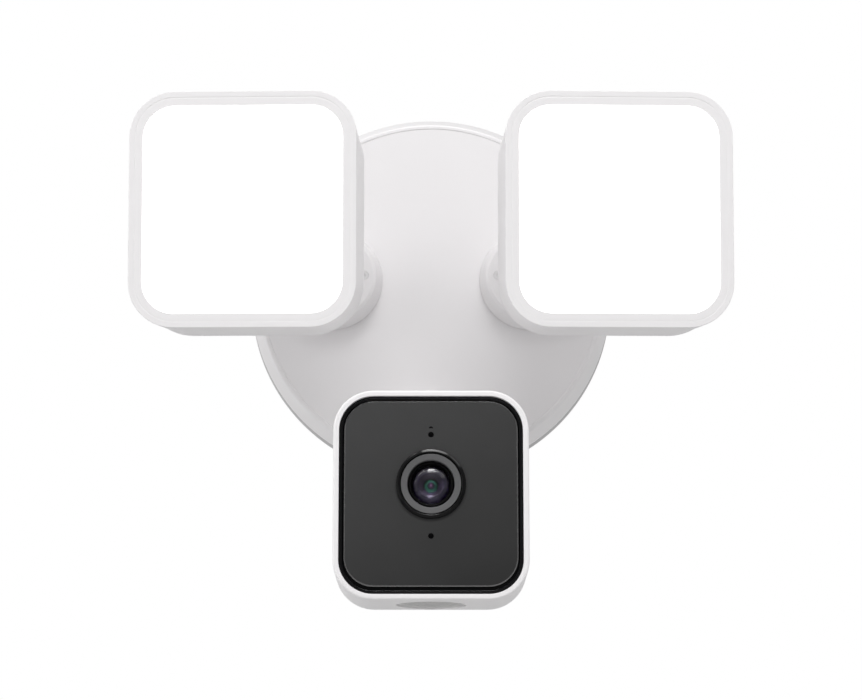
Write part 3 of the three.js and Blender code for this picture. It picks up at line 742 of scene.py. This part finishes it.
def light(side, s):
    bm_, hm = at_light(s)
    body = f"{side}_light"
    joint(side, bm_, hm, f"{side}_ball_body", body)
    prof = [(8.0, -8.0)] + soft([(8.0, -8.0, 0), (1.1, -8.0, 0.8), (-0.28, -8.9, 0.35), (-0.28, -10.1, 0.2), (0.0, -10.35, 0.12), (0.0, -49.3, 0.05), (0.2, -49.4, 0.05),
                                 (0.2, -49.7, 0.05), (0.0, -49.8, 0.05), (0.0, -50.4, 0.28), (2.38, -50.4, 0.12), (2.4, -10.4, 0.4), (10.0, -10.4, 0)], 0.4, 6)[1:]
    h = make(f"{side}_housing_shell", *shell(LW, LH, LR, prof, drop=rear_drop), hm, WHITE_TRIM, "white_shell", body)
    cutters = [solid(*lathe([(16.4, -12), (16.4, -6)], 96), hm)]
    back_screws(f"{side}_housing_screws", [(a, b) for a in (-34, 34) for b in (-35.5, 35.5)], -8.0, hm, body, cutters)
    combine(h, cutters, edge=0.2)
    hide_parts(f"{side}_housing")

    bz = soft([(-0.46, -47.7, 0.1), (-0.46, -50.32, 0.03), (0.03, -50.32, 0.03), (0.1, -50.36, 0.06), (2.95, -50.36, 0.14), (2.95, -47.7, 0.1)], 0.2, 5, True)
    b = make(f"{side}_bezel_ring", *shell(89.5, 93.2, 16.4, bz, closed=True), hm, WHITE_TRIM, "white_shell", body)
    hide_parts(f"{side}_bezel")

    dprof = soft([(6.0, -45.7, 0), (0.0, -45.7, 0.1), (0.0, -47.35, 0.1), (2.95, -47.35, 0.1), (2.95, -49.88, 0.3), (5.5, -49.9, 0.3)], 0.2, 5)
    d = make(f"{side}_diffuser_pane", *shell(89.3, 92.9, 16.6, dprof), hm, DIFFUSER, "diffuser", body)
    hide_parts(f"{side}_diffuser")


light("left", -1)
light("right", 1)

# ---------------------------------------------------------------- camera head
CW, CH, CR, CZ = 79.2, 85.2, 16.3, -12.2
WALL = 2.4
LENS_Z, DOT_TOP, DOT_LOW = -8.0, 12.2, -29.1
body = "camera_head"
joint("camera", CAM_M, CAM_M, "camera_ball_body", body)
bottom = CZ - CH / 2

prof = soft([(9.0, -8.0, 0), (2.6, -8.0, 2.6), (0.0, -10.6, 1.6), (0.0, -12.0, 0.2), (WALL, -12.0, 0.2), (WALL, -10.4, 0.3), (9.0, -10.4, 0)], 0.3, 6)
back = make("camera_back_shell", *shell(CW, CH, CR, prof, CZ), CAM_M, WHITE, "white_shell", body)
cutters = [solid(*lathe([(16.4, -14), (16.4, -6)], 96), CAM_M), solid(*lathe([(3.0, -14), (3.0, -6)], 48, 0, -42), CAM_M)]
back_screws("camera_back_screws", [(-29, 19.5), (29, 19.5), (-29, -43.5), (29, -43.5)], -8.0, CAM_M, body, cutters)
combine(back, cutters, edge=0.2)
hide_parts("camera_back_cover")

prof = soft([(0.0, -12.3, 0.25), (0.0, -48.48, 0.95), (WALL - 0.03, -48.48, 0.3), (WALL, -12.3, 0.2)], 0.3, 7, True)
house = make("camera_front_shell", *shell(CW, CH, CR, prof, CZ, closed=True), CAM_M, WHITE_TRIM, "white_shell", body)
UP = CAM_M @ Matrix.Translation((0, -27.0, 0)) @ turn_to("Z")
combine(house, [solid(*lathe([(14.3, bottom - 3), (14.3, bottom + 6)], 96), UP)], edge=0.35, edge_segments=3)
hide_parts("camera_housing")

# speaker grille: a domed frame ring round a plate of small hexagonal-pitch holes
gv, gf = lathe(soft([(12.2, bottom + 0.95, 0.1), (12.9, bottom + 0.6, 0.3), (13.9, bottom + 0.75, 0.25), (13.95, bottom + 2.3, 0.1), (12.2, bottom + 2.3, 0.1)], 0.2, 4, True), 96, closed=True)
gr = make("speaker_grille_frame", gv, gf, UP, GRILLE, "grille_grey", body)
pitch, hole_r, sides = 1.75, 0.5, 8
verts, faces, seen = [], [], {}


def vid(p):
    k = (round(p[0], 3), round(p[1], 3), round(p[2], 3))
    if k not in seen:
        seen[k] = len(verts)
        verts.append(p)
    return seen[k]


y_out, y_in = bottom + 1.15, bottom + 1.75
R_plate = 12.35
cells = []
for i in range(-9, 10):
    for j in range(-9, 10):
        cx = pitch * (i + j * 0.5)
        cz = pitch * j * math.sqrt(3) / 2
        if math.hypot(cx, cz) < R_plate - 1.1:
            cells.append((cx, cz))
plate_v, plate_f = lathe(soft([(0, y_out), (R_plate, y_out, 0.1), (R_plate, y_in, 0.1), (0, y_in)], 0.1, 2), 72)
pl = make("speaker_grille_plate", plate_v, plate_f, UP, GRILLE, "grille_grey", body)
hv, hf = [], []
for cx, cz in cells:
    v, f = lathe([(hole_r, y_out - 1), (hole_r, y_in + 1)], 10, cx, cz)
    k = len(hv)
    hv += v
    hf += [tuple(q + k for q in t) for t in f]
combine(pl, [solid(hv, hf, UP)])
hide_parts("speaker_grille")

# black front panel, grey face plate in its pocket
PW, PH, PR = CW - 2 * WALL - 0.4, CH - 2 * WALL - 0.4, CR - WALL - 0.2
prof = soft([(9.0, -43.0, 0), (0.0, -43.0, 0.2), (0.0, -47.15, 0.35), (0.55, -47.62, 0.3), (1.05, -47.62, 0.25), (1.55, -47.2, 0.2), (1.62, -46.0, 0.1), (9.0, -46.0, 0)], 0.3, 5)
panel = make("face_panel_black", *shell(PW, PH, PR, prof, CZ), CAM_M, BLACK, "black_gloss", body)


def face_cuts(rlens, rdot):
    out = [solid(*lathe([(rlens, -40), (rlens, -52)], 96, 0, LENS_Z), CAM_M)]
    for z in (DOT_TOP, DOT_LOW):
        out.append(solid(*lathe([(rdot, -40), (rdot, -52)], 32, 0, z), CAM_M))
    return out


combine(panel, face_cuts(14.4, 1.3), edge=0.0)
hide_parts("face_panel")

prof = soft([(9.0, -46.3, 0), (0.0, -46.3, 0.1), (0.0, -47.6, 0.05), (0.42, -48.05, 0.08), (0.5, -48.1, 0.0), (9.0, -48.1, 0)], 0.2, 4)
plate = make("face_plate_grey", *shell(70.2, 75.5, 12.0, prof, CZ + 0.5), CAM_M, FACE, "face_grey", body)
combine(plate, face_cuts(14.12, 1.17), edge=0.05)
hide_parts("face_plate")
# polished chamfer that runs round the plate
trim = [(-0.02, -47.45, 0), (-0.02, -47.72, 0.02), (0.40, -48.13, 0.04), (0.50, -48.13, 0.02), (0.50, -47.9, 0)]
make("face_plate_chamfer", *shell(70.2, 75.5, 12.0, soft(trim, 0.05, 3, True), CZ + 0.5, closed=True), CAM_M, FACE_EDGE, "face_grey", body, angle=24.0)


def at_lens(name, profile, material, slot, node=None, n=128, closed=True, z=LENS_Z):
    o = make(name, *lathe(profile, n, 0, z, closed=closed), CAM_M, material, slot, body)
    if node:
        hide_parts(node)
    return o


at_lens("lens_outer_ring", soft([(12.45, -42.5, 0.1), (14.05, -42.5, 0.1), (14.05, -49.15, 0.15), (13.1, -49.48, 0.2), (12.65, -49.35, 0.2), (12.45, -48.6, 0.1)], 0.3, 6, True), RING_BLACK, "black_gloss", "lens_ring")
at_lens("lens_bezel_ring", soft([(9.5, -43.0, 0.1), (12.2, -43.0, 0.1), (12.2, -49.05, 0.2), (9.8, -48.85, 0.25), (9.5, -48.3, 0.2)], 0.3, 5, True), LENS_GREY, "lens_grey", "lens_bezel")
# stepped baffles in the barrel
steps = [(0, -30.5, 0), (10.0, -30.5, 0.2), (10.0, -42.0, 0.2), (9.25, -42.6, 0.2), (9.25, -47.7, 0.3), (8.5, -47.7, 0.3), (7.9, -46.9, 0.15), (7.85, -44.3, 0.1)]
r_, y_ = 7.6, -44.1
while r_ > 5.0:
    steps += [(r_, y_, 0.03), (r_ - 0.26, y_, 0.03)]
    r_ -= 0.26
    y_ += 0.24
    steps[-1] = (r_, y_ - 0.24, 0.03)
steps += [(r_, -33.0, 0.1), (0, -33.0, 0)]
at_lens("lens_barrel_baffle", soft(steps, 0.1, 2), BAFFLE, "dark_plastic", "lens_barrel", closed=False)


def cap(radius, curve, y_edge, n):
    """Front of a convex element: from its rim to its apex, curvature radius given."""
    a1 = math.asin(radius / curve)
    return [(curve * math.sin(a1 * (n - i) / n), y_edge - curve * (math.cos(a1 * (n - i) / n) - math.cos(a1))) for i in range(n + 1)]


at_lens("lens_front_glass", soft([(0, -44.25, 0), (4.0, -44.3, 3), (7.2, -44.9, 0.3), (7.62, -45.0, 0.1), (7.65, -45.55, 0.15)], 0.3, 5)
        + [(7.62, -45.62)] + cap(7.5, 17.5, -45.7, 40), GLASS, "lens_glass", "lens_glass", closed=False)
# coated elements behind the front glass, with a pupil disc whose pink is a painted glint
at_lens("lens_second_element", soft([(5.2, -42.6, 0), (7.35, -42.6, 0.1), (7.35, -43.35, 0.1)], 0.1, 2)
        + cap(7.3, 15.0, -43.4, 24)[:9] + [(5.25, -44.0), (5.2, -43.9)], VIOLET, "lens_glass", n=128)
bowl = [(5.2, -43.95), (5.25, -42.0), (2.8, -41.6)]
bowl += [(8.0 * math.sin(rad(a)), -42.194 - 8.0 * (1 - math.cos(rad(a)))) for a in [20.5 + i * 1.5 for i in range(13)]]
at_lens("lens_third_element", bowl, BOWL, "lens_glass", n=128)
at_lens("lens_green_element", [(0, -41.2), (2.75, -41.2), (2.75, -42.1)] + cap(2.7, 4.6, -42.15, 16), GREEN, "lens_glass", closed=False, n=96)
at_lens("lens_iris_ring", soft([(0.5, -42.7, 0.0), (1.4, -42.7, 0.0), (1.4, -42.96, 0.05), (0.5, -43.06, 0.05)], 0.05, 3, True), DARK, "lens_glass", n=64)
# pupil disc: its pink colour is a painted reflection of the glint at the lens centre
at_lens("lens_pupil", [(0, -42.7), (0.42, -42.7), (0.42, -43.0)] + cap(0.40, 0.6, -43.02, 8), PUPIL_PAINTED_GLINT, "lens_glass", closed=False, n=40)

for nm, z, mat, sl in (("light_sensor", DOT_TOP, SENSOR_BLACK, "dark_plastic"), ("status_light", DOT_LOW, PIPE, "light_pipe")):
    at_lens(f"{nm}_window", soft([(0, -41.0), (1.13, -41.0, 0.1), (1.13, -47.9, 0.12), (0, -48.02)], 0.2, 4), mat, sl, nm, n=48, closed=False, z=z)
# small arched slot above the upper window
arch = [(0.86 * math.cos(rad(t)), 0.86 * math.sin(rad(t))) for t in range(10, 171, 10)]
arch += [(0.36 * math.cos(rad(t)), 0.24 * math.sin(rad(t))) for t in range(170, 9, -10)]
k = len(arch)
av = [(x, -48.14, z + DOT_TOP + 2.5) for x, z in arch] + [(x, -47.4, z + DOT_TOP + 2.5) for x, z in arch]
af = [tuple(reversed(range(k))), tuple(range(k, 2 * k))] + [(i, (i + 1) % k, k + (i + 1) % k, k + i) for i in range(k)]
make("sensor_arch_window", av, af, CAM_M, PIPE, "light_pipe", body)

btn = make("reset_button_cap", *lathe(soft([(0, -6.9), (2.1, -6.9, 0.4), (2.5, -7.4, 0.3), (2.5, -10.9, 0.1), (3.8, -10.9, 0.15), (3.8, -12.2, 0.2), (0, -12.2)], 0.3, 4), 64, 0, -42), CAM_M, DARK, "dark_plastic", "reset_button_body")
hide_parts("reset_button")

# ---------------------------------------------------------------- CAD nodes that stay
KEEP = {
    "wall_bracket": (ZINC, 0.35), "driver_board": (BOARD, 0.2), "terminal_block": (TERMINAL, 0.3),
    "left_arm_nut": (ZINC, 0.3), "right_arm_nut": (ZINC, 0.3), "camera_arm_nut": (ZINC, 0.3),
    "left_heat_sink": (ALU, 0.25), "right_heat_sink": (ALU, 0.25), "left_led_board": (INNER_WHITE, 0.1), "right_led_board": (INNER_WHITE, 0.1),
    "left_reflector": (INNER_WHITE, 0.2), "right_reflector": (INNER_WHITE, 0.2), "left_diffuser_seal": (RUBBER, 0.2), "right_diffuser_seal": (RUBBER, 0.2),
    "sensor_board": (BOARD, 0.1), "main_board": (BOARD, 0.15), "speaker": (DARK, 0.3),
}
for name, (mat, width) in KEEP.items():
    o = NODES[name]
    o.data.materials.clear()
    o.data.materials.append(mat)
    b = o.modifiers.new("edge", "BEVEL")
    b.limit_method = "ANGLE"
    b.angle_limit = rad(50)
    b.width = width * MM
    b.segments = 2

# ---------------------------------------------------------------- studio
floor_me = bpy.data.meshes.new("floor")
floor_me.from_pydata([(-6, -6, -0.95), (6, -6, -0.95), (6, 6, -0.95), (-6, 6, -0.95)], [], [(0, 1, 2, 3)])
floor = bpy.data.objects.new("floor", floor_me)
bpy.context.scene.collection.objects.link(floor)
fm, fnt, fp = new_material("floor")
fnt.links.new(tint(fnt, noise(fnt, coords(fnt), 3.0), (0.78, 0.78, 0.78), (0.80, 0.80, 0.80)), fp.inputs["Base Color"])
fp.inputs["Roughness"].default_value = 0.8
floor_me.materials.append(fm)

world = bpy.data.worlds.new("studio")
bpy.context.scene.world = world
world.use_nodes = True
wt = world.node_tree
bgn = wt.nodes["Background"]
tc = wt.nodes.new("ShaderNodeTexCoord")
sep = wt.nodes.new("ShaderNodeSeparateXYZ")
wt.links.new(tc.outputs["Generated"], sep.inputs["Vector"])


def calc(op, a, b=None):
    n = wt.nodes.new("ShaderNodeMath")
    n.operation = op
    for i, v in enumerate((a, b)):
        if v is None:
            continue
        if isinstance(v, (int, float)):
            n.inputs[i].default_value = v
        else:
            wt.links.new(v, n.inputs[i])
    return n.outputs[0]


def heading(azimuth, elevation):
    """Unit direction: azimuth 0 is in front of the object, positive to its right."""
    a, e = rad(azimuth), rad(elevation)
    return (math.sin(a) * math.cos(e), -math.cos(a) * math.cos(e), math.sin(e))


def lobe(azimuth, elevation, power, value):
    """A soft light panel of the room, brightest in one direction."""
    n = wt.nodes.new("ShaderNodeVectorMath")
    n.operation = "DOT_PRODUCT"
    wt.links.new(tc.outputs["Generated"], n.inputs[0])
    n.inputs[1].default_value = heading(azimuth, elevation)
    return calc("MULTIPLY", calc("POWER", calc("MAXIMUM", n.outputs["Value"], 0.0), float(power)), value)


room = lobe(4, 52, 8, 1.2)
for az, el, power, value in ((-78, 5, 6, 2.3), (78, 5, 6, 1.2), (0, -76, 3, 1.3), (-44, -28, 9, 0.85), (44, -28, 9, 0.12), (180, 8, 2, 0.6)):
    room = calc("ADD", room, lobe(az, el, power, value))
room = calc("ADD", room, 0.10)
bgn.inputs["Color"].default_value = (1, 1, 1, 1)
wt.links.new(room, bgn.inputs["Strength"])
white = wt.nodes.new("ShaderNodeBackground")
white.inputs["Color"].default_value = (1, 1, 1, 1)
white.inputs["Strength"].default_value = 1.0
lp = wt.nodes.new("ShaderNodeLightPath")
mix = wt.nodes.new("ShaderNodeMixShader")
wt.links.new(lp.outputs["Is Camera Ray"], mix.inputs["Fac"])
wt.links.new(bgn.outputs["Background"], mix.inputs[1])
wt.links.new(white.outputs["Background"], mix.inputs[2])
wt.links.new(mix.outputs["Shader"], wt.nodes["World Output"].inputs["Surface"])


def softbox(name, loc, aim, size, power, size_y=None, roll=0.0):
    l = bpy.data.lights.new(name, "AREA")
    l.shape = "RECTANGLE"
    l.size = size
    l.size_y = size_y or size
    l.energy = power
    o = bpy.data.objects.new(name, l)
    o.location = loc
    turn = (Vector(aim) - Vector(loc)).to_track_quat("-Z", "Y").to_matrix() @ Matrix.Rotation(rad(roll), 3, "Z")
    o.rotation_euler = turn.to_euler()
    bpy.context.scene.collection.objects.link(o)
    return o


softbox("key", Vector(heading(6, 47)) * 1.9, (0, -0.08, -0.02), 0.9, 11.9, 0.45)
# two narrow strips that carry the key's reflection round the upper left of the lens
softbox("strip_upper", Vector(heading(-30, 37)) * 1.7, (0, -0.12, -0.1), 0.5, 1.9, 0.12, 38)
softbox("fill_right", Vector(heading(36, 34)) * 1.8, (0, -0.05, -0.02), 0.6, 2.6, 0.6)
glint = softbox("ring_glint", Vector(heading(0, 48)) * 1.7, (0, -0.12, -0.1), 0.42, 10.0, 0.16)
glint.visible_diffuse = False
softbox("strip_left", Vector(heading(-41, 16)) * 1.7, (0, -0.12, -0.1), 0.5, 0.7, 0.10, 70)

sc = bpy.context.scene
sc.view_settings.view_transform = "Standard"
sc.view_settings.look = "None"
sc.view_settings.exposure = 0.0
sc.view_settings.gamma = 1.0
